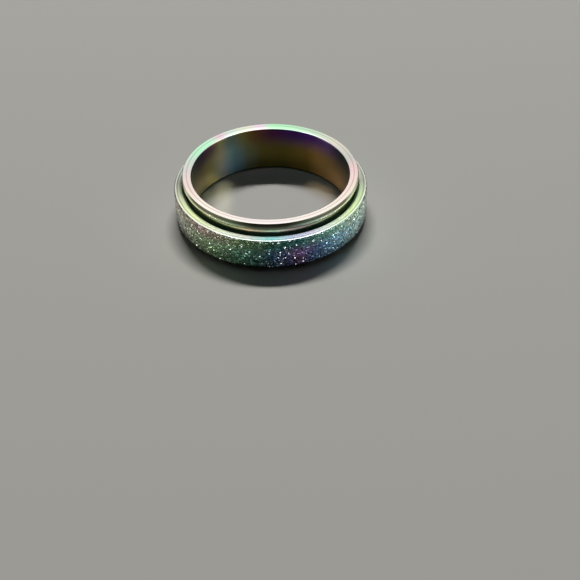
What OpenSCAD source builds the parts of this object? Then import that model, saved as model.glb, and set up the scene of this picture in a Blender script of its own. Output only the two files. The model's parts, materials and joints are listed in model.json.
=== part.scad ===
// Spinner ring: a plain inner band with a rim at each end, and a loose outer
// band that turns on the neck between the rims. The ring lies flat, its axis
// is +Z and its origin is the middle of the face that it lies on.

/* [Inner band] */
// Inside diameter of the ring, the finger hole
bore_d = 18.5; // [14:0.1:24]
// Width of the ring along the finger
band_h = 6; // [5.6:0.1:12]
// Thickness of the metal at the neck, where the outer band turns
neck_wall = 0.8; // [0.5:0.05:1.5]
// How far each rim stands out from the neck
rim_lip = 0.3; // [0.2:0.02:0.5]
// Thickness of each rim along the finger
rim_t = 0.76; // [0.5:0.02:1.1]
// Rounding of the finger hole's two edges
bore_round = 0.35; // [0.05:0.01:0.4]
// Rounding of each rim's outer edge, on the side away from the neck
rim_round = 0.2; // [0.05:0.01:0.35]
// Rounding of each rim's outer edge, on the side facing the neck
lip_round = 0.12; // [0.05:0.01:0.15]

/* [Outer band] */
// Width of the outer band along the finger
spin_h = 3.75; // [2.5:0.05:3.9]
// Thickness of the outer band from its own bore to its outer face
spin_wall = 1.28; // [0.9:0.02:2]
// Rounding of the outer face's two edges
spin_round = 0.28; // [0.05:0.01:0.4]
// Bevel of the outer band's two inner edges, at 45 degrees
spin_bevel = 0.36; // [0.1:0.02:0.4]
// Play all round between the neck and the outer band's bore
turn_play = 0.08; // [0.04:0.01:0.1]
// Play between the lower rim and the outer band that has sunk down to it
seat_play = 0.04; // [0.02:0.01:0.1]

/* [Hidden] */
$fn = 180;

bore_r = bore_d / 2;
neck_r = bore_r + neck_wall;
rim_r = neck_r + rim_lip;
spin_bore_r = neck_r + turn_play;
spin_r = spin_bore_r + spin_wall;

// The outer band rests on the lower rim, by its bevel or by its flat face:
// whichever of the two lets it sink lower is the one that clears the rim.
bevel_seat_z = rim_r + rim_t - 2 * lip_round + sqrt(2) * (lip_round + seat_play)
    - spin_bore_r - spin_bevel;
flat_seat_z = rim_t + seat_play;
spin_z = min(bevel_seat_z, flat_seat_z);

// How far a cutting shape reaches past the edge that it rounds
over = 0.1;

// What is taken off a square corner at [x, y] to round it. The signs sx and sy
// point from the corner into the metal.
module corner_waste(x, y, sx, sy, r) {
    difference() {
        translate([x + sx * (r - over) / 2, y + sy * (r - over) / 2])
            square(r + over, center = true);
        translate([x + sx * r, y + sy * r]) circle(r = r);
    }
}

// One rim in section, reaching from the bore out past the neck
module rim_section(z) {
    translate([bore_r, z]) square([rim_r - bore_r, rim_t]);
}

// The inner band in section: a thin wall with a rim at each end
module inner_section() {
    difference() {
        union() {
            translate([bore_r, 0]) square([neck_wall, band_h]);
            rim_section(0);
            rim_section(band_h - rim_t);
        }
        corner_waste(bore_r, 0, 1, 1, bore_round);
        corner_waste(bore_r, band_h, 1, -1, bore_round);
        corner_waste(rim_r, 0, -1, 1, rim_round);
        corner_waste(rim_r, band_h, -1, -1, rim_round);
        corner_waste(rim_r, rim_t, -1, -1, lip_round);
        corner_waste(rim_r, band_h - rim_t, -1, 1, lip_round);
    }
}

// The outer band in section: bevelled inside, rounded outside
module outer_section() {
    difference() {
        polygon([
            [spin_bore_r, spin_bevel],
            [spin_bore_r + spin_bevel, 0],
            [spin_r, 0],
            [spin_r, spin_h],
            [spin_bore_r + spin_bevel, spin_h],
            [spin_bore_r, spin_h - spin_bevel]
        ]);
        corner_waste(spin_r, 0, -1, 1, spin_round);
        corner_waste(spin_r, spin_h, -1, -1, spin_round);
    }
}

// Polished band that is worn on the finger and lies on the surface
module inner_band() {
    color("thistle")
        rotate_extrude() inner_section();
}

// Grained band that turns freely round the neck
module outer_band() {
    color("cadetblue")
        translate([0, 0, spin_z])
            rotate_extrude() outer_section();
}

inner_band();
outer_band();
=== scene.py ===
"""Looks of a spinner ring: a polished inner band, and a sparkling grained outer band that turns round it.

Both bands are steel with an oil-slick coating, and the ring lies on a plain pale floor."""

import json
import math
import random
from collections import namedtuple

import bmesh
import bpy
from mathutils import Euler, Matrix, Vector


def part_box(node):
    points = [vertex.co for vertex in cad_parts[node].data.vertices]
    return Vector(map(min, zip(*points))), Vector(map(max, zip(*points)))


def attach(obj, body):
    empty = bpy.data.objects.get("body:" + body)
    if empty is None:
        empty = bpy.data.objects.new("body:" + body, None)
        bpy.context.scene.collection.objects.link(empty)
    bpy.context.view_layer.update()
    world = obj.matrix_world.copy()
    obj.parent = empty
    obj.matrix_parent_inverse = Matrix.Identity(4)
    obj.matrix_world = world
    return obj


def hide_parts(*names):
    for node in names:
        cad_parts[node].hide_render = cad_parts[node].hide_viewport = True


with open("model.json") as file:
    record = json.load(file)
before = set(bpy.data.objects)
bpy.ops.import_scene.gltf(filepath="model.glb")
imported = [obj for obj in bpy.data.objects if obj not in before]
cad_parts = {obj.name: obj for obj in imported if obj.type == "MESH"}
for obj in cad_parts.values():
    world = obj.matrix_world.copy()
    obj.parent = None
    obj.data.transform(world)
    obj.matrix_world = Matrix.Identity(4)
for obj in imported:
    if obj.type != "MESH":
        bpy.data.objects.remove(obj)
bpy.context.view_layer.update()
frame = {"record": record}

# Inner band: one piece of stainless steel, turned to a thin neck with a rim at each end, polished like a
# mirror and coated. Here its section is spun round the axis, and each of its turned edges is rounded.
MM = 0.001
STEPS = 384
ROUND_SEGMENTS = 8
LIP_SEGMENTS = 4
SHARP_TURN = math.radians(35)

inner_low, inner_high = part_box("inner_band")
band_h = inner_high.z - inner_low.z
rim_r = inner_high.x
hole = next(m for m in frame["record"]["mounts"] if m["name"] == "finger_hole")
bore_r = hole["dims"]["r_mm"] * MM
rim_lip = 0.3 * MM
neck_r = rim_r - rim_lip
rim_t = 0.76 * MM
bore_round = 0.35 * MM
rim_round = 0.2 * MM
lip_round = 0.12 * MM


def turned_band(section, steps):
    """A bmesh band spun from its section, a closed loop of (radius, height)."""
    bm = bmesh.new()
    verts = [bm.verts.new((r, 0, z)) for r, z in section]
    edges = [bm.edges.new(pair) for pair in zip(verts, verts[1:] + verts[:1])]
    bmesh.ops.spin(bm, geom=verts + edges, cent=(0, 0, 0), axis=(0, 0, 1), angle=2 * math.pi,
                   steps=steps, use_merge=True)
    bmesh.ops.remove_doubles(bm, verts=bm.verts, dist=1e-7)
    bmesh.ops.recalc_face_normals(bm, faces=bm.faces)
    return bm


def round_edges(bm, radius, height, size, segments):
    """Rounds the turned edge at that radius and height."""
    near = 0.01 * MM

    def on_edge(vert):
        return abs(math.hypot(vert.co.x, vert.co.y) - radius) < near and abs(vert.co.z - height) < near

    ring = [e for e in bm.edges if all(on_edge(v) for v in e.verts)]
    bmesh.ops.bevel(bm, geom=ring, offset=size, offset_type="OFFSET", segments=segments, profile=0.5,
                    affect="EDGES", material=-1, clamp_overlap=True)


def piece_from(bm, name, *materials):
    """An object of the bmesh at the origin, smooth-shaded but for its sharp turns."""
    mesh = bpy.data.meshes.new(name)
    bm.to_mesh(mesh)
    bm.free()
    for face in mesh.polygons:
        face.use_smooth = True
    mesh.set_sharp_from_angle(angle=SHARP_TURN)
    for material in materials:
        mesh.materials.append(material)
    piece = bpy.data.objects.new(name, mesh)
    bpy.context.scene.collection.objects.link(piece)
    return piece


# Close beside each rounding the section has one more point, which keeps the flats flat in smooth shading.
BESIDE = 0.01 * MM
half = [
    (bore_r, bore_round + BESIDE), (bore_r, 0), (bore_r + bore_round + BESIDE, 0),
    (rim_r - rim_round - BESIDE, 0), (rim_r, 0), (rim_r, rim_round + BESIDE),
    (rim_r, rim_t - lip_round - BESIDE), (rim_r, rim_t), (rim_r - lip_round - BESIDE, rim_t),
    (neck_r, rim_t),
]
inner_bm = turned_band(half + [(r, band_h - z) for r, z in reversed(half)], STEPS)
for height in (0, band_h):
    round_edges(inner_bm, bore_r, height, bore_round, ROUND_SEGMENTS)
    round_edges(inner_bm, rim_r, height, rim_round, ROUND_SEGMENTS)
for height in (rim_t, band_h - rim_t):
    round_edges(inner_bm, rim_r, height, lip_round, LIP_SEGMENTS)


def feed(tree, socket, value):
    """Links a socket of the tree to another one, or sets it to a number, triple or colour."""
    if isinstance(value, bpy.types.NodeSocket):
        tree.links.new(value, socket)
    else:
        socket.default_value = value


def added(tree, kind, **inputs):
    """A new node in the tree, with its named inputs fed."""
    node = tree.nodes.new(kind)
    for name, value in inputs.items():
        feed(tree, node.inputs[name], value)
    return node


def calculation(tree, operation, *values, kind="ShaderNodeMath"):
    """The result of a Math node of the tree, or of a Vector Math node."""
    node = added(tree, kind)
    node.operation = operation
    for socket, value in zip(node.inputs, values):
        feed(tree, socket, value)
    return node.outputs[0]


# Where a point of the coating lies. Around runs from 0 at the left by the front (0.25), the right (0.5) and
# the back (0.75) to 1, Height from 0 at the table to 1 at the upper rim, and Radius from 0 at the axis to 1
# at 12 mm. The first two waver by a cloudy noise, as oil-slick colours do.
FULL_RADIUS = 12 * MM
CLOUD_SCALE = 260

place = bpy.data.node_groups.new("place_on_ring", "ShaderNodeTree")
place.interface.new_socket("Waver", in_out="INPUT", socket_type="NodeSocketFloat")
for name in ("Around", "Height", "Radius"):
    place.interface.new_socket(name, in_out="OUTPUT", socket_type="NodeSocketFloat")
group_in, group_out = added(place, "NodeGroupInput"), added(place, "NodeGroupOutput")
position = added(place, "ShaderNodeTexCoord").outputs["Object"]
axes = added(place, "ShaderNodeSeparateXYZ", Vector=position)
cloud = added(place, "ShaderNodeTexNoise", Scale=CLOUD_SCALE, Detail=2, Vector=position)
drift = calculation(place, "SUBTRACT", cloud.outputs["Fac"], 0.5)
drift = calculation(place, "MULTIPLY", drift, group_in.outputs["Waver"])
angle = calculation(place, "ARCTAN2", axes.outputs["Y"], axes.outputs["X"])
turns = calculation(place, "MULTIPLY_ADD", angle, 0.5 / math.pi, 0.5)
turns = calculation(place, "FRACT", calculation(place, "ADD", turns, drift))
feed(place, group_out.inputs["Around"], turns)
height = calculation(place, "MULTIPLY", axes.outputs["Z"], 1 / band_h)
feed(place, group_out.inputs["Height"], calculation(place, "ADD", height, drift))
level = added(place, "ShaderNodeCombineXYZ", X=axes.outputs["X"], Y=axes.outputs["Y"])
from_axis = added(place, "ShaderNodeVectorMath", Vector=level.outputs[0])
from_axis.operation = "LENGTH"
reach = calculation(place, "MULTIPLY", from_axis.outputs["Value"], 1 / FULL_RADIUS)
feed(place, group_out.inputs["Radius"], reach)

Coat = namedtuple("Coat", "material tree shader around height radius")


def metal(name, roughness, waver):
    """A metal material for a coating to be painted on, with what the painting needs."""
    material = bpy.data.materials.new(name)
    material.use_nodes = True
    tree = material.node_tree
    shader = tree.nodes["Principled BSDF"]
    shader.inputs["Metallic"].default_value = 1
    shader.inputs["Roughness"].default_value = roughness
    where = added(tree, "ShaderNodeGroup")
    where.node_tree = place
    where.inputs["Waver"].default_value = waver
    spot = where.outputs
    return Coat(material, tree, shader, spot["Around"], spot["Height"], spot["Radius"])


def paint(coat, colour, socket="Base Color"):
    """Puts a colour on the coat's shader, or what another of its sockets takes."""
    feed(coat.tree, coat.shader.inputs[socket], colour)


def colours_along(tree, value, stops):
    """The colour of a ramp over a value, from (position, red, green, blue) stops."""
    ramp = added(tree, "ShaderNodeValToRGB", Fac=value)
    ramp.color_ramp.interpolation = "LINEAR"
    first, last = ramp.color_ramp.elements[0], ramp.color_ramp.elements[1]
    first.position, first.color = stops[0][0], (*stops[0][1:], 1)
    last.position, last.color = stops[-1][0], (*stops[-1][1:], 1)
    for position, *colour in stops[1:-1]:
        ramp.color_ramp.elements.new(position).color = (*colour, 1)
    return ramp.outputs["Color"]


def greys_along(tree, value, stops):
    """The grey of a ramp over a value, from (position, grey) stops: a mask or a shade."""
    return colours_along(tree, value, [(position, grey, grey, grey) for position, grey in stops])


def mixed(tree, blend, factor, first, second):
    """The result of a colour Mix node."""
    node = added(tree, "ShaderNodeMix")
    node.data_type = "RGBA"
    node.blend_type = blend
    for socket, value in zip((node.inputs[0], node.inputs[6], node.inputs[7]), (factor, first, second)):
        feed(tree, socket, value)
    return node.outputs[2]


def multiplied(tree, first, second):
    """The first colour darkened by the second."""
    return mixed(tree, "MULTIPLY", 1.0, first, second)


def smooth_step(tree, value, start, end, low=0, high=1):
    """A smooth step of a value, from low at start to high at end."""
    node = added(tree, "ShaderNodeMapRange")
    node.interpolation_type = "SMOOTHSTEP"
    for socket, number in zip(node.inputs[:5], (value, start, end, low, high)):
        feed(tree, socket, number)
    return node.outputs["Result"]


# The rims' flats and their roundings, with a fine darker line along the flat.
rim_coat = metal("coated_rim", roughness=0.08, waver=0.02)
rim_colour = colours_along(rim_coat.tree, rim_coat.around, (
    (0.0, 0.76, 0.67, 0.65), (0.03, 0.84, 0.71, 0.65), (0.06, 0.88, 0.74, 0.65), (0.11, 0.98, 0.89, 0.77),
    (0.25, 1.0, 0.9, 0.87), (0.38, 0.96, 0.88, 0.77), (0.44, 0.92, 0.77, 0.68), (0.5, 0.88, 0.63, 0.63),
    (0.54, 0.6, 0.59, 0.53), (0.6, 0.76, 0.72, 0.6), (0.66, 0.58, 0.78, 0.58), (0.72, 0.5, 0.92, 0.56),
    (0.75, 0.52, 0.98, 0.58), (0.772, 0.92, 0.74, 0.86), (0.8, 0.85, 0.88, 0.68), (0.835, 0.7, 0.86, 0.74),
    (0.86, 0.84, 0.62, 0.7), (0.89, 0.56, 0.96, 0.65), (0.93, 0.51, 0.91, 0.6), (0.96, 0.62, 0.74, 0.64),
    (1.0, 0.74, 0.66, 0.64)))
rim_line = colours_along(rim_coat.tree, rim_coat.radius, (
    (0.81, 1.0, 1.0, 1.0), (0.8165, 0.8, 0.77, 0.77), (0.8225, 0.8, 0.77, 0.77), (0.829, 1.0, 1.0, 1.0)))
rim_colour = multiplied(rim_coat.tree, rim_colour, rim_line)
paint(rim_coat, rim_colour)

# The rims' outer sides, with painted reflections: dark at the front and pale yellow beside it. A painted
# reflection, a bright line, runs low on the upper one, which is painted dark above that line but for a
# painted reflection lobe at the left and one at the right, bright to the top.
side_coat = metal("coated_rim_side", roughness=0.18, waver=0.02)
side_colour = colours_along(side_coat.tree, side_coat.around, (
    (0.0, 0.6, 0.52, 0.45), (0.03, 0.55, 0.5, 0.36), (0.06, 1.0, 0.98, 0.8), (0.13, 1.0, 0.98, 0.76),
    (0.18, 0.5, 0.64, 0.46), (0.22, 0.13, 0.13, 0.1), (0.28, 0.12, 0.13, 0.1), (0.325, 0.6, 0.78, 0.66),
    (0.36, 1.0, 1.0, 0.9), (0.43, 1.0, 0.98, 0.76), (0.47, 0.6, 0.62, 0.42), (0.5, 0.6, 0.5, 0.42),
    (0.6, 0.5, 0.7, 0.6), (0.75, 0.4, 0.7, 0.5), (0.9, 0.7, 0.5, 0.6), (1.0, 0.6, 0.52, 0.45)))
# Painted reflection line and painted shade over the height of the side.
painted_reflection_line_and_shade = colours_along(side_coat.tree, side_coat.height, (
    (0.1, 0.3, 0.3, 0.3), (0.5, 0.3, 0.3, 0.3), (0.88, 0.5, 0.5, 0.5), (0.89, 1.0, 1.0, 1.0),
    (0.92, 1.0, 1.0, 1.0), (0.935, 0.35, 0.35, 0.3), (0.98, 0.26, 0.26, 0.2), (0.99, 0.12, 0.12, 0.1)))
painted_lobe_reflection = greys_along(side_coat.tree, side_coat.height, (
    (0.1, 0.3), (0.5, 0.3), (0.88, 0.7), (0.89, 1.0), (0.98, 1.0), (0.99, 0.7)))
# Where the painted reflection lobes lie around the ring.
painted_lobe_places = greys_along(side_coat.tree, side_coat.around, (
    (0.015, 0.0), (0.03, 1.0), (0.06, 1.0), (0.085, 0.0), (0.4, 0.0), (0.43, 1.0), (0.46, 1.0), (0.49, 0.0)))
painted_side_reflections = mixed(side_coat.tree, "MIX", painted_lobe_places, painted_reflection_line_and_shade, painted_lobe_reflection)
side_colour = multiplied(side_coat.tree, side_colour, painted_side_reflections)
paint(side_coat, side_colour)

# The bore: olive and amber low down, violet high up at the back, with a pale band low at the back left that
# is partly a painted reflection of the lit streak on the table. Painted shade darkens its foot, and less
# its upper half. Light that it sends on to the table is kept low, because the lamps named thrown_light
# stand for it.
bore_coat = metal("coated_bore", roughness=0.38, waver=0.03)
bore_low = colours_along(bore_coat.tree, bore_coat.around, (
    (0.0, 0.52, 0.46, 0.37), (0.08, 0.5, 0.36, 0.44), (0.2, 0.3, 0.42, 0.4), (0.32, 0.42, 0.4, 0.16),
    (0.42, 0.6, 0.38, 0.4), (0.5, 0.56, 0.5, 0.4), (0.56, 0.85, 0.6, 0.36), (0.6, 1.0, 0.64, 0.28),
    (0.64, 0.8, 0.46, 0.15), (0.67, 0.36, 0.24, 0.05), (0.72, 0.17, 0.14, 0.03), (0.77, 0.17, 0.15, 0.04),
    (0.805, 0.22, 0.26, 0.18), (0.83, 0.24, 0.46, 0.6), (0.845, 0.5, 0.82, 0.92), (0.862, 1.0, 1.0, 0.95),
    (0.882, 1.0, 1.0, 0.6), (0.9, 0.95, 0.85, 0.4), (0.925, 0.7, 0.6, 0.36), (1.0, 0.52, 0.46, 0.37)))
bore_high = colours_along(bore_coat.tree, bore_coat.around, (
    (0.0, 0.18, 0.28, 0.26), (0.1, 0.2, 0.14, 0.36), (0.22, 0.14, 0.3, 0.3), (0.34, 0.34, 0.28, 0.1),
    (0.44, 0.26, 0.14, 0.3), (0.5, 0.16, 0.22, 0.15), (0.57, 0.18, 0.2, 0.32), (0.61, 0.36, 0.2, 0.72),
    (0.65, 0.13, 0.04, 0.36), (0.7, 0.075, 0.022, 0.22), (0.75, 0.1, 0.025, 0.1), (0.785, 0.18, 0.09, 0.04),
    (0.81, 0.26, 0.25, 0.09), (0.84, 0.22, 0.34, 0.38), (0.866, 0.7, 0.7, 0.42), (0.89, 0.42, 0.28, 0.36),
    (0.92, 0.26, 0.18, 0.36), (1.0, 0.18, 0.28, 0.26)))
bore_upward = smooth_step(bore_coat.tree, bore_coat.height, 0.45, 0.9)
bore_colour = mixed(bore_coat.tree, "MIX", bore_upward, bore_low, bore_high)
# Painted shade: dark along the foot, and darker from halfway up.
painted_bore_shade = colours_along(bore_coat.tree, bore_coat.height, (
    (0.045, 0.06, 0.06, 0.06), (0.065, 1.0, 1.0, 1.0), (0.25, 1.0, 1.0, 1.0), (0.5, 0.68, 0.66, 0.55)))
bore_colour = multiplied(bore_coat.tree, bore_colour, painted_bore_shade)
bore_sent_on = (0.04, 0.045, 0.045, 1)
bore_path = added(bore_coat.tree, "ShaderNodeLightPath")
bore_colour = mixed(bore_coat.tree, "MIX", bore_path.outputs["Is Diffuse Ray"], bore_colour, bore_sent_on)
paint(bore_coat, bore_colour)

# The neck and the rims' lips beside it: painted shade darkens the groove, and a painted reflection, one
# bright line, runs above the outer band.
neck_coat = metal("coated_neck", roughness=0.12, waver=0.02)
neck_colour = colours_along(neck_coat.tree, neck_coat.around, (
    (0.0, 0.4, 0.36, 0.26), (0.17, 0.16, 0.18, 0.11), (0.25, 0.36, 0.22, 0.16), (0.33, 0.16, 0.18, 0.12),
    (0.5, 0.6, 0.5, 0.4), (0.75, 0.5, 0.5, 0.4), (1.0, 0.6, 0.55, 0.4)))
# Painted shade in the groove, with the painted reflection line above the outer band.
painted_groove_shade_and_line = colours_along(neck_coat.tree, neck_coat.height, (
    (0.15, 0.3, 0.4, 0.35), (0.72, 0.1, 0.26, 0.24), (0.76, 0.14, 0.24, 0.22), (0.785, 1.0, 1.0, 1.0),
    (0.808, 1.0, 1.0, 1.0), (0.828, 0.3, 0.34, 0.26), (0.875, 0.3, 0.34, 0.26)))
neck_colour = multiplied(neck_coat.tree, neck_colour, painted_groove_shade_and_line)
paint(neck_coat, neck_colour)

inner = piece_from(inner_bm, "polished_inner_band", rim_coat.material, bore_coat.material,
                   neck_coat.material, side_coat.material)
BORE, NECK, SIDE = 1, 2, 3
FACES_AXIS = -0.85
FACES_OUT = 0.6
for face in inner.data.polygons:
    middle = face.center
    r = math.hypot(middle.x, middle.y)
    outward = (face.normal.x * middle.x + face.normal.y * middle.y) / r
    if outward < FACES_AXIS:
        face.material_index = BORE
    elif abs(middle.z - band_h / 2) < band_h / 2 - rim_t:
        face.material_index = NECK
    elif outward > FACES_OUT:
        face.material_index = SIDE
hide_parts("inner_band")
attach(inner, "inner_ring")

# Outer band: a loose band of the same steel, captive between the rims, its outer face blasted with coarse
# grit so that it sparkles, its two ends polished. It is spun like the inner band, then each point of its
# outer face is moved a little.
outer_low, outer_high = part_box("outer_band")
spin_r = outer_high.x
turn_play = 0.08 * MM
spin_bore_r = neck_r + turn_play
spin_bevel = 0.36 * MM
spin_round = 0.28 * MM
spin_z0, spin_z1 = outer_low.z, outer_high.z

GRAIN_STEPS = 620
GRAIN_ROWS = 28
GRAIN_SEGMENTS = 7
side_low, side_high = spin_z0 + spin_round, spin_z1 - spin_round
side_rows = [(spin_r, side_low + (side_high - side_low) * row / GRAIN_ROWS) for row in range(GRAIN_ROWS + 1)]
outer_bm = turned_band([
    (spin_bore_r, spin_z0 + spin_bevel), (spin_bore_r + spin_bevel, spin_z0),
    (spin_r - spin_round - BESIDE, spin_z0), (spin_r, spin_z0), *side_rows, (spin_r, spin_z1),
    (spin_r - spin_round - BESIDE, spin_z1), (spin_bore_r + spin_bevel, spin_z1),
    (spin_bore_r, spin_z1 - spin_bevel),
], GRAIN_STEPS)
for height in (spin_z0, spin_z1):
    round_edges(outer_bm, spin_r, height, spin_round, GRAIN_SEGMENTS)

# The grit bites into each point of the outer face, mostly a little, and into the outer part of its two
# roundings half as deep.
GRIT_SEED = 5
grit = random.Random(GRIT_SEED)
grain_depth = 0.11 * MM
least_bite = 0.005 * MM
rarity_of_deep = 6
most_sway = 0.35 * 2 * math.pi / GRAIN_STEPS
most_lift = 0.035 * MM
grained_share = 0.48
grain_r = spin_r - grained_share * spin_round
for vert in outer_bm.verts:
    if math.hypot(vert.co.x, vert.co.y) > grain_r:
        depth = grain_depth if side_low < vert.co.z < side_high else grain_depth / 2
        bite = 1 - (least_bite + depth * grit.random() ** rarity_of_deep) / spin_r
        sway = grit.uniform(-most_sway, most_sway)
        vert.co.xy = ((vert.co.x - vert.co.y * sway) * bite, (vert.co.y + vert.co.x * sway) * bite)
        if side_low < vert.co.z < side_high:
            vert.co.z += grit.uniform(-most_lift, most_lift)

# The band's polished ends: mint to sky blue at the front, with a fine darker line near the outer edge, and
# painted shade beside the bore at the left, where the rim shades it. Painted shade darkens the lower end.
end_coat = metal("coated_band_end", roughness=0.52, waver=0.02)
end_colour = colours_along(end_coat.tree, end_coat.around, (
    (0.0, 0.25, 0.26, 0.22), (0.04, 0.48, 0.52, 0.36), (0.1, 0.78, 0.88, 0.5), (0.16, 0.95, 1.0, 0.8),
    (0.21, 0.95, 1.0, 0.93), (0.232, 0.64, 1.0, 0.98), (0.25, 0.46, 1.0, 1.0), (0.27, 0.58, 0.94, 1.0),
    (0.285, 0.66, 0.8, 1.0), (0.315, 0.82, 0.8, 1.0), (0.35, 0.8, 0.92, 0.82), (0.41, 0.68, 0.84, 0.48),
    (0.46, 0.46, 0.58, 0.36), (0.5, 0.3, 0.32, 0.26), (0.6, 0.6, 0.56, 0.5), (0.7, 0.5, 0.7, 0.54),
    (0.8, 0.7, 0.58, 0.62), (0.9, 0.42, 0.66, 0.5), (1.0, 0.25, 0.26, 0.22)))
# Painted shade on the lower end.
painted_end_shade = greys_along(end_coat.tree, end_coat.height, ((0.3, 0.2), (0.6, 1.0)))
end_line = colours_along(end_coat.tree, end_coat.radius, (
    (0.908, 1.0, 1.0, 1.0), (0.914, 0.58, 0.6, 0.58), (0.922, 0.58, 0.6, 0.58), (0.927, 1.0, 1.0, 1.0)))
# Painted shade of the rim on the end beside the bore, at the left only.
painted_shade_beside_bore = colours_along(end_coat.tree, end_coat.radius, (
    (0.874, 0.3, 0.32, 0.3), (0.888, 0.4, 0.42, 0.4), (0.904, 1.0, 1.0, 1.0)))
at_left = greys_along(end_coat.tree, end_coat.around, (
    (0.0, 1.0), (0.03, 0.8), (0.055, 0.0), (0.93, 0.0), (0.97, 1.0)))
painted_shade_beside_bore = mixed(end_coat.tree, "MIX", at_left, (1, 1, 1, 1), painted_shade_beside_bore)
for shade in (painted_end_shade, end_line, painted_shade_beside_bore):
    end_colour = multiplied(end_coat.tree, end_colour, shade)
paint(end_coat, end_colour)

# The polished inner part of the roundings between the ends and the outer face.
edge_coat = metal("coated_band_edge", roughness=0.2, waver=0.02)
edge_colour = colours_along(edge_coat.tree, edge_coat.around, (
    (0.0, 0.66, 0.62, 0.57), (0.06, 0.85, 0.86, 0.7), (0.1, 0.95, 1.0, 0.8), (0.165, 0.9, 0.95, 0.85),
    (0.2, 0.36, 0.4, 0.37), (0.25, 0.31, 0.345, 0.33), (0.3, 0.37, 0.38, 0.4), (0.335, 0.9, 0.95, 0.85),
    (0.4, 0.95, 1.0, 0.8), (0.45, 0.9, 0.92, 0.82), (0.49, 0.66, 0.62, 0.56), (0.75, 0.7, 0.85, 0.7),
    (1.0, 0.66, 0.62, 0.57)))
paint(edge_coat, edge_colour)

# The grained face: green, teal, violet and blue across the front and paler at the sides, darkened by painted
# shade towards its lower edge, and darker just under its upper one.
grain_coat = metal("coated_grained_steel", roughness=0.3, waver=0.05)
grain_tree = grain_coat.tree
grain_low = colours_along(grain_tree, grain_coat.around, (
    (0.0, 0.5, 0.48, 0.42), (0.08, 0.44, 0.48, 0.35), (0.14, 0.28, 0.42, 0.22), (0.2, 0.09, 0.22, 0.14),
    (0.25, 0.03, 0.075, 0.095), (0.28, 0.04, 0.065, 0.14), (0.305, 0.16, 0.08, 0.21),
    (0.33, 0.09, 0.16, 0.32), (0.37, 0.3, 0.58, 0.74), (0.42, 0.6, 0.86, 0.82), (0.5, 0.6, 0.64, 0.6),
    (0.6, 0.3, 0.5, 0.4), (0.75, 0.12, 0.25, 0.3), (0.9, 0.4, 0.3, 0.45), (1.0, 0.5, 0.48, 0.42)))
grain_high = colours_along(grain_tree, grain_coat.around, (
    (0.0, 0.6, 0.58, 0.5), (0.08, 0.5, 0.46, 0.36), (0.13, 0.42, 0.3, 0.26), (0.2, 0.16, 0.25, 0.12),
    (0.25, 0.025, 0.095, 0.055), (0.3, 0.035, 0.14, 0.14), (0.35, 0.24, 0.5, 0.42), (0.42, 0.7, 0.94, 0.7),
    (0.5, 0.6, 0.6, 0.52), (0.6, 0.45, 0.6, 0.4), (0.75, 0.2, 0.35, 0.28), (0.9, 0.45, 0.42, 0.4),
    (1.0, 0.6, 0.58, 0.5)))
grain_upward = smooth_step(grain_tree, grain_coat.height, 0.4, 0.66)
grain_colour = mixed(grain_tree, "MIX", grain_upward, grain_low, grain_high)
# Painted shade: darker towards the lower edge, and darker just under the upper one.
painted_grain_shade = greys_along(grain_tree, grain_coat.height, (
    (0.1, 0.3), (0.25, 0.6), (0.42, 1.0), (0.66, 1.0), (0.7, 0.5)))
grain_colour = multiplied(grain_tree, grain_colour, painted_grain_shade)

# Every grain has its own lightness: the fine ones everywhere, the coarse ones mostly at the sides.
FINE_GRAINS = 8000
COARSE_GRAINS = 4600
FINE_DARKEST = 0.42
FINE_CONTRAST = 0.34
position = added(grain_tree, "ShaderNodeTexCoord").outputs["Object"]
fine = added(grain_tree, "ShaderNodeTexVoronoi", Scale=FINE_GRAINS, Vector=position)
fine_parts = added(grain_tree, "ShaderNodeSeparateColor", Color=fine.outputs["Color"])
coarse = added(grain_tree, "ShaderNodeTexVoronoi", Scale=COARSE_GRAINS, Vector=position)
coarse_parts = added(grain_tree, "ShaderNodeSeparateColor", Color=coarse.outputs["Color"])
coarse_depth = greys_along(grain_tree, grain_coat.around, (
    (0.0, 1.0), (0.1, 0.8), (0.16, 0.1), (0.25, 0.0), (0.34, 0.1), (0.4, 0.8), (0.5, 1.0), (0.58, 0.45),
    (0.92, 0.45), (1.0, 1.0)))
fine_light = calculation(grain_tree, "MULTIPLY_ADD", fine_parts.outputs[0], FINE_CONTRAST, FINE_DARKEST)
coarse_light = calculation(grain_tree, "SUBTRACT", coarse_parts.outputs[0], 0.5)
coarse_light = calculation(grain_tree, "MULTIPLY", coarse_light, coarse_depth)
grain_light = calculation(grain_tree, "ADD", fine_light, coarse_light)
grain_colour = multiplied(grain_tree, grain_colour, grain_light)
paint(grain_coat, grain_colour)

# One fine grain in five is smooth and bright, the others are dull.
DULL_SHARE = 0.8
SMOOTH_ROUGHNESS = 0.08
DULLNESS = 0.42
dull = calculation(grain_tree, "LESS_THAN", fine_parts.outputs[1], DULL_SHARE)
grain_rough = calculation(grain_tree, "MULTIPLY_ADD", dull, DULLNESS, SMOOTH_ROUGHNESS)
paint(grain_coat, grain_rough, "Roughness")

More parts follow.
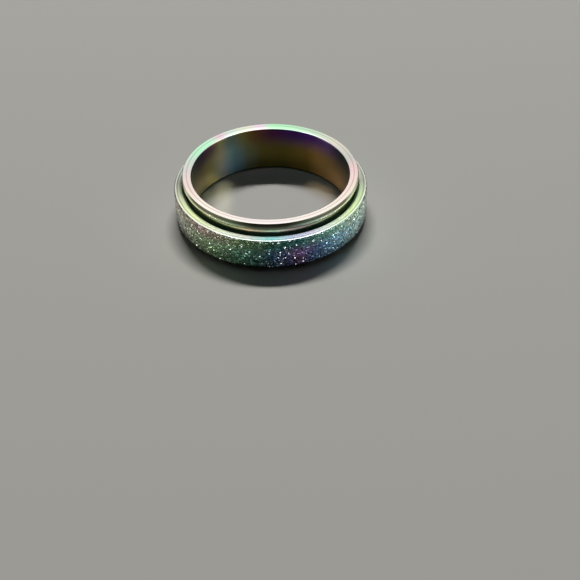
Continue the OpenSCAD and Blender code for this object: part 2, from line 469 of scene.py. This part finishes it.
# About one coarse grain in three carries a clear flake, each tilted its own way, which flashes white where
# it mirrors one of the glint lamps.
FLAKE_SHUFFLE = 23
FLAKES_FROM = 0.64
FLAKE_TILT = (0.9, 0.9, 0.9)
MIDDLE = (0.5, 0.5, 0.5)
VECTOR = "ShaderNodeVectorMath"
shuffled = calculation(grain_tree, "MULTIPLY", coarse_parts.outputs[1], FLAKE_SHUFFLE)
shuffled = calculation(grain_tree, "FRACT", shuffled)
flake = calculation(grain_tree, "GREATER_THAN", shuffled, FLAKES_FROM)
paint(grain_coat, flake, "Coat Weight")
tilt = calculation(grain_tree, "SUBTRACT", coarse.outputs["Color"], MIDDLE, kind=VECTOR)
tilt = calculation(grain_tree, "MULTIPLY", tilt, FLAKE_TILT, kind=VECTOR)
to_world = added(grain_tree, "ShaderNodeVectorTransform", Vector=tilt)
to_world.vector_type = "VECTOR"
to_world.convert_from, to_world.convert_to = "OBJECT", "WORLD"
geometry = added(grain_tree, "ShaderNodeNewGeometry")
flake_normal = calculation(grain_tree, "ADD", geometry.outputs["Normal"], to_world.outputs[0], kind=VECTOR)
flake_normal = calculation(grain_tree, "NORMALIZE", flake_normal, kind=VECTOR)
paint(grain_coat, flake_normal, "Coat Normal")
grain_coat.shader.inputs["Coat Roughness"].default_value = 0.06
grain_coat.shader.inputs["Coat IOR"].default_value = 1.72

outer = piece_from(outer_bm, "grained_outer_band", end_coat.material, grain_coat.material, edge_coat.material)
GRAIN, EDGE = 1, 2
grained_from_r = grain_r - 0.02 * MM
for face in outer.data.polygons:
    middle = face.center
    r = math.hypot(middle.x, middle.y)
    if r > grained_from_r:
        face.material_index = GRAIN
        face.use_smooth = False
    elif r > spin_r - spin_round:
        face.material_index = EDGE
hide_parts("outer_band")
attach(outer, "spinner")

# Floor: a wide plain sheet, pale and dull, that the ring lies on. Its upper side is at height 0, where the
# ring's lower rim rests.
floor_bm = bmesh.new()
bmesh.ops.create_grid(floor_bm, x_segments=1, y_segments=1, size=4)
floor_material = bpy.data.materials.new("plain_floor")
floor_material.use_nodes = True
floor_shader = floor_material.node_tree.nodes["Principled BSDF"]
floor_shader.inputs["Base Color"].default_value = (0.5, 0.49, 0.455, 1)
floor_shader.inputs["Roughness"].default_value = 0.9
floor_shader.inputs["Specular IOR Level"].default_value = 0
floor = piece_from(floor_bm, "floor", floor_material)

# Camera: where the photo was taken from, looking down at the ring from the front. The photo's frame is 580
# pixels wide, and the middle of the ring's lower face shows at ring_px in it.
FRAME_PX = 580
SENSOR_MM = 36
camera_px = 1100
camera_pitch = math.radians(40.62)
camera_roll = math.radians(-0.88)
camera_distance = 133.15 * MM
ring_px = (271.4, 211.98)

camera_data = bpy.data.cameras.new("camera")
camera_data.sensor_fit = "HORIZONTAL"
camera_data.sensor_width = SENSOR_MM
camera_data.lens = SENSOR_MM * camera_px / FRAME_PX
camera_data.clip_start = 0.001
camera_data.clip_end = 20
camera = bpy.data.objects.new("camera", camera_data)
bpy.context.scene.collection.objects.link(camera)
turn = Euler((math.pi / 2 - camera_pitch, 0, 0)).to_matrix() @ Euler((0, 0, camera_roll)).to_matrix()
toward_ring = Vector((ring_px[0] - FRAME_PX / 2, FRAME_PX / 2 - ring_px[1], -camera_px)).normalized()
camera.matrix_world = turn.to_4x4()
camera.location = -(turn @ toward_ring) * camera_distance
bpy.context.scene.camera = camera


# Lamps: a narrow main lamp high behind the ring casts the shadow, and a wide one straight above fills it.
# Neither shows in the metal: what the metal mirrors are the lamps linked to one band, and the room.
def softbox(name, azimuth, elevation, width, height, power, distance=1.0, colour=(1, 1, 1)):
    """A rectangular lamp that faces the ring. Azimuth 0 is behind the ring, 90 to its right."""
    data = bpy.data.lights.new(name, "AREA")
    data.shape = "RECTANGLE"
    data.size, data.size_y = width, height
    data.energy = power
    data.color = colour
    lamp = bpy.data.objects.new(name, data)
    bpy.context.scene.collection.objects.link(lamp)
    a, e = math.radians(azimuth), math.radians(elevation)
    away = Vector((math.sin(a) * math.cos(e), math.cos(a) * math.cos(e), math.sin(e)))
    lamp.location = away * distance
    lamp.rotation_euler = (-away).to_track_quat("-Z", "Y").to_euler()
    return lamp


def shines_only_on(lamp, receivers):
    """Keeps the lamp to the gloss of the pieces in a collection."""
    lamp.visible_diffuse = False
    lamp.light_linking.receiver_collection = receivers


main_lamp = softbox("main_lamp", azimuth=0, elevation=58.2, width=0.5, height=0.07, power=8.2)
main_lamp.visible_glossy = False
fill = softbox("fill", azimuth=0, elevation=88, width=1.5, height=1.5, power=0.95, distance=1.5,
               colour=(0.85, 0.97, 1))
fill.visible_glossy = False

sparkling = bpy.data.collections.new("sparkling")
sparkling.objects.link(outer)
polished = bpy.data.collections.new("polished")
polished.objects.link(inner)
overhead_lamp = softbox("overhead_lamp", azimuth=0, elevation=80, width=0.6, height=0.42, power=6.8)
shines_only_on(overhead_lamp, sparkling)
high_lamp = softbox("high_lamp", azimuth=180, elevation=60, width=2.0, height=1.1, power=9)
shines_only_on(high_lamp, polished)
glint_places = (
    (92, 20), (112, 14), (136, 8), (160, 18), (172, 32), (182, 6), (204, 14), (218, 28), (238, 12), (260, 18),
)
for azimuth, elevation in glint_places:
    glint = softbox(f"glint_{azimuth}", azimuth, elevation, width=0.18, height=0.18, power=2.1)
    shines_only_on(glint, sparkling)

# Light that the bore throws down on the table inside the ring: a pale streak at the left, an amber patch at
# the right. Each spot is a thin beam from straight above, at (x mm, y mm, power, colour).
BEAM_HEIGHT = 0.15
BEAM_ANGLE = math.radians(1.2)
streak = [(-5.9, 5.4 - 1.2 * step, 0.2 - 0.02 * step, (1, 0.97, 0.62)) for step in range(6)]
patches = [
    (-7.3, 3.6, 0.15, (1, 1, 0.6)), (-7.6, 1.8, 0.1, (1, 0.9, 0.6)), (5.2, 5.0, 0.14, (1, 0.76, 0.4)),
    (6.4, 4.0, 0.19, (1, 0.74, 0.4)), (7.3, 2.4, 0.14, (1, 0.7, 0.44)),
]
for x, y, power, colour in streak + patches:
    beam = bpy.data.lights.new("thrown_light", "SPOT")
    beam.energy = power
    beam.color = colour
    beam.spot_size = BEAM_ANGLE
    beam.spot_blend = 1
    beam.shadow_soft_size = 0.5 * MM
    lamp = bpy.data.objects.new("thrown_light", beam)
    lamp.location = (x * MM, y * MM, BEAM_HEIGHT)
    lamp.visible_glossy = False
    bpy.context.scene.collection.objects.link(lamp)

# Room: it shows in the polished metal, bright behind the ring and brightest overhead, dark on the camera's
# side but for windows at both sides. It doesn't light the floor, and past the floor's edge it looks dim.
BACKDROP = 0.03
world = bpy.data.worlds.new("room")
bpy.context.scene.world = world
world.use_nodes = True
room = world.node_tree
direction = added(room, "ShaderNodeTexCoord").outputs["Generated"]
toward = added(room, "ShaderNodeSeparateXYZ", Vector=direction)
right, back, up = toward.outputs["X"], toward.outputs["Y"], toward.outputs["Z"]


def blended(tree, factor, first, second):
    """The result of a Mix node between two numbers."""
    node = added(tree, "ShaderNodeMix")
    for socket, value in zip((node.inputs[0], node.inputs[2], node.inputs[3]), (factor, first, second)):
        feed(tree, socket, value)
    return node.outputs[0]


sideways = calculation(room, "ABSOLUTE", right)
low_windows = calculation(room, "MULTIPLY", smooth_step(room, sideways, 0.45, 0.8, 0, 1.8),
                          smooth_step(room, up, 0.1, 0.3, 1, 0))
high_windows = calculation(room, "MULTIPLY", smooth_step(room, sideways, 0.5, 0.7, 0, 1.3),
                           smooth_step(room, up, 0.3, 0.45, 0, 1))
windows = calculation(room, "ADD", low_windows, high_windows)
near_side = calculation(room, "ADD", windows, smooth_step(room, up, 0.3, 0.5, 0.09, 0.26))
far_side = smooth_step(room, up, 0.8, 0.96, 1.0, 1.4)
all_round = blended(room, smooth_step(room, back, 0.0, 0.16), near_side, far_side)
path = added(room, "ShaderNodeLightPath")
brightness = blended(room, path.outputs["Is Camera Ray"], all_round, BACKDROP)
background = room.nodes["Background"]
feed(room, background.inputs["Strength"], brightness)
background.inputs["Color"].default_value = (1, 1, 1, 1)
world.cycles_visibility.diffuse = False
bpy.context.scene.view_settings.view_transform = "Standard"
